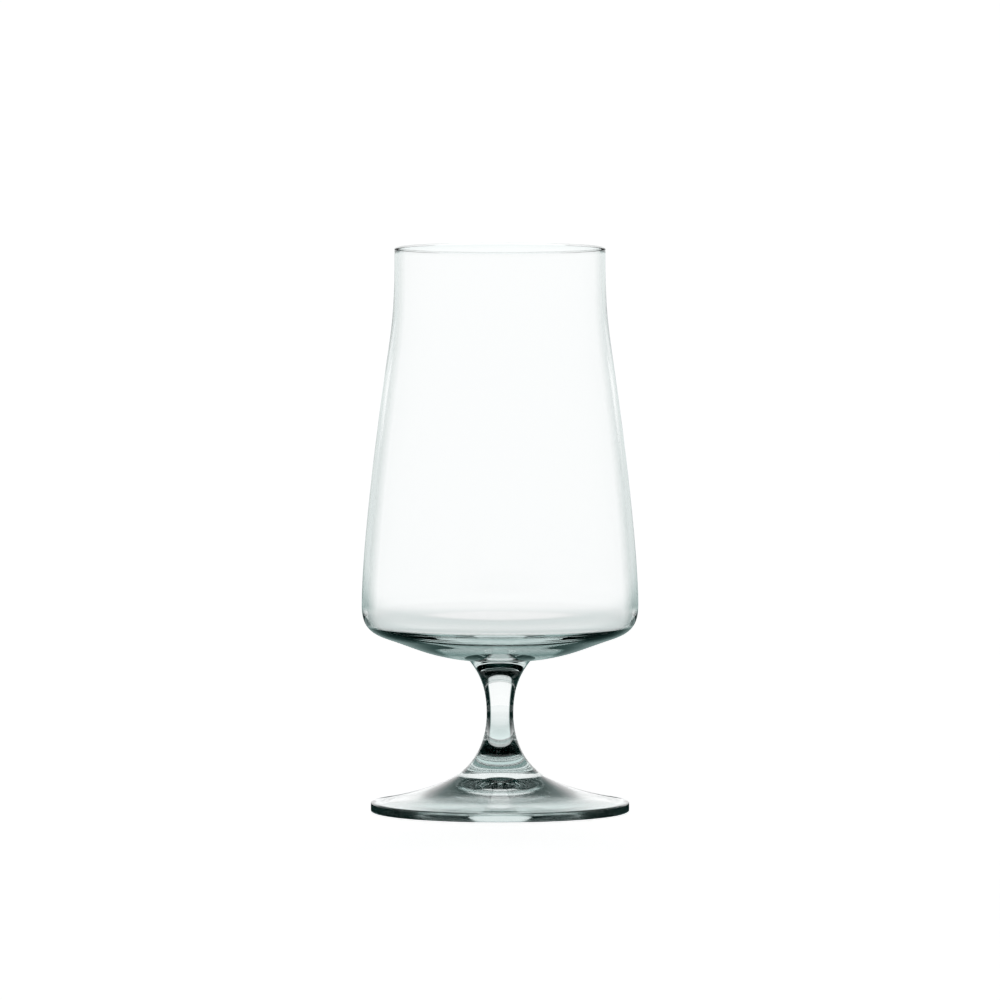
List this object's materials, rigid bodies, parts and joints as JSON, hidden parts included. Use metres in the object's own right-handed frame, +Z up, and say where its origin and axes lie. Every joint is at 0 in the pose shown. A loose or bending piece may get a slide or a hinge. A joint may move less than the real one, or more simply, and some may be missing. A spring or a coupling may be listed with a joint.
{
  "type": "stemmed beer glass",
  "caption": "Clear stemmed beer glass: a tall bowl that narrows to a straight mouth, over a thick floor, a short waisted stem and a round flared foot that is hollow underneath.",
  "frame": {"origin": "centre of the ring under the foot that the glass stands on", "axes": "+Z up along the axis of the glass, towards the rim; X and Y are alike"},
  "size_m": [0.0832, 0.0832, 0.17],
  "materials": {
    "clear_glass": "clear soda-lime glass, fire-polished, faintly green where it is thick"
  },
  "bodies": {
    "root": {"bowl": "clear_glass", "stem": "clear_glass", "foot": "clear_glass"}
  },
  "joints": []
}
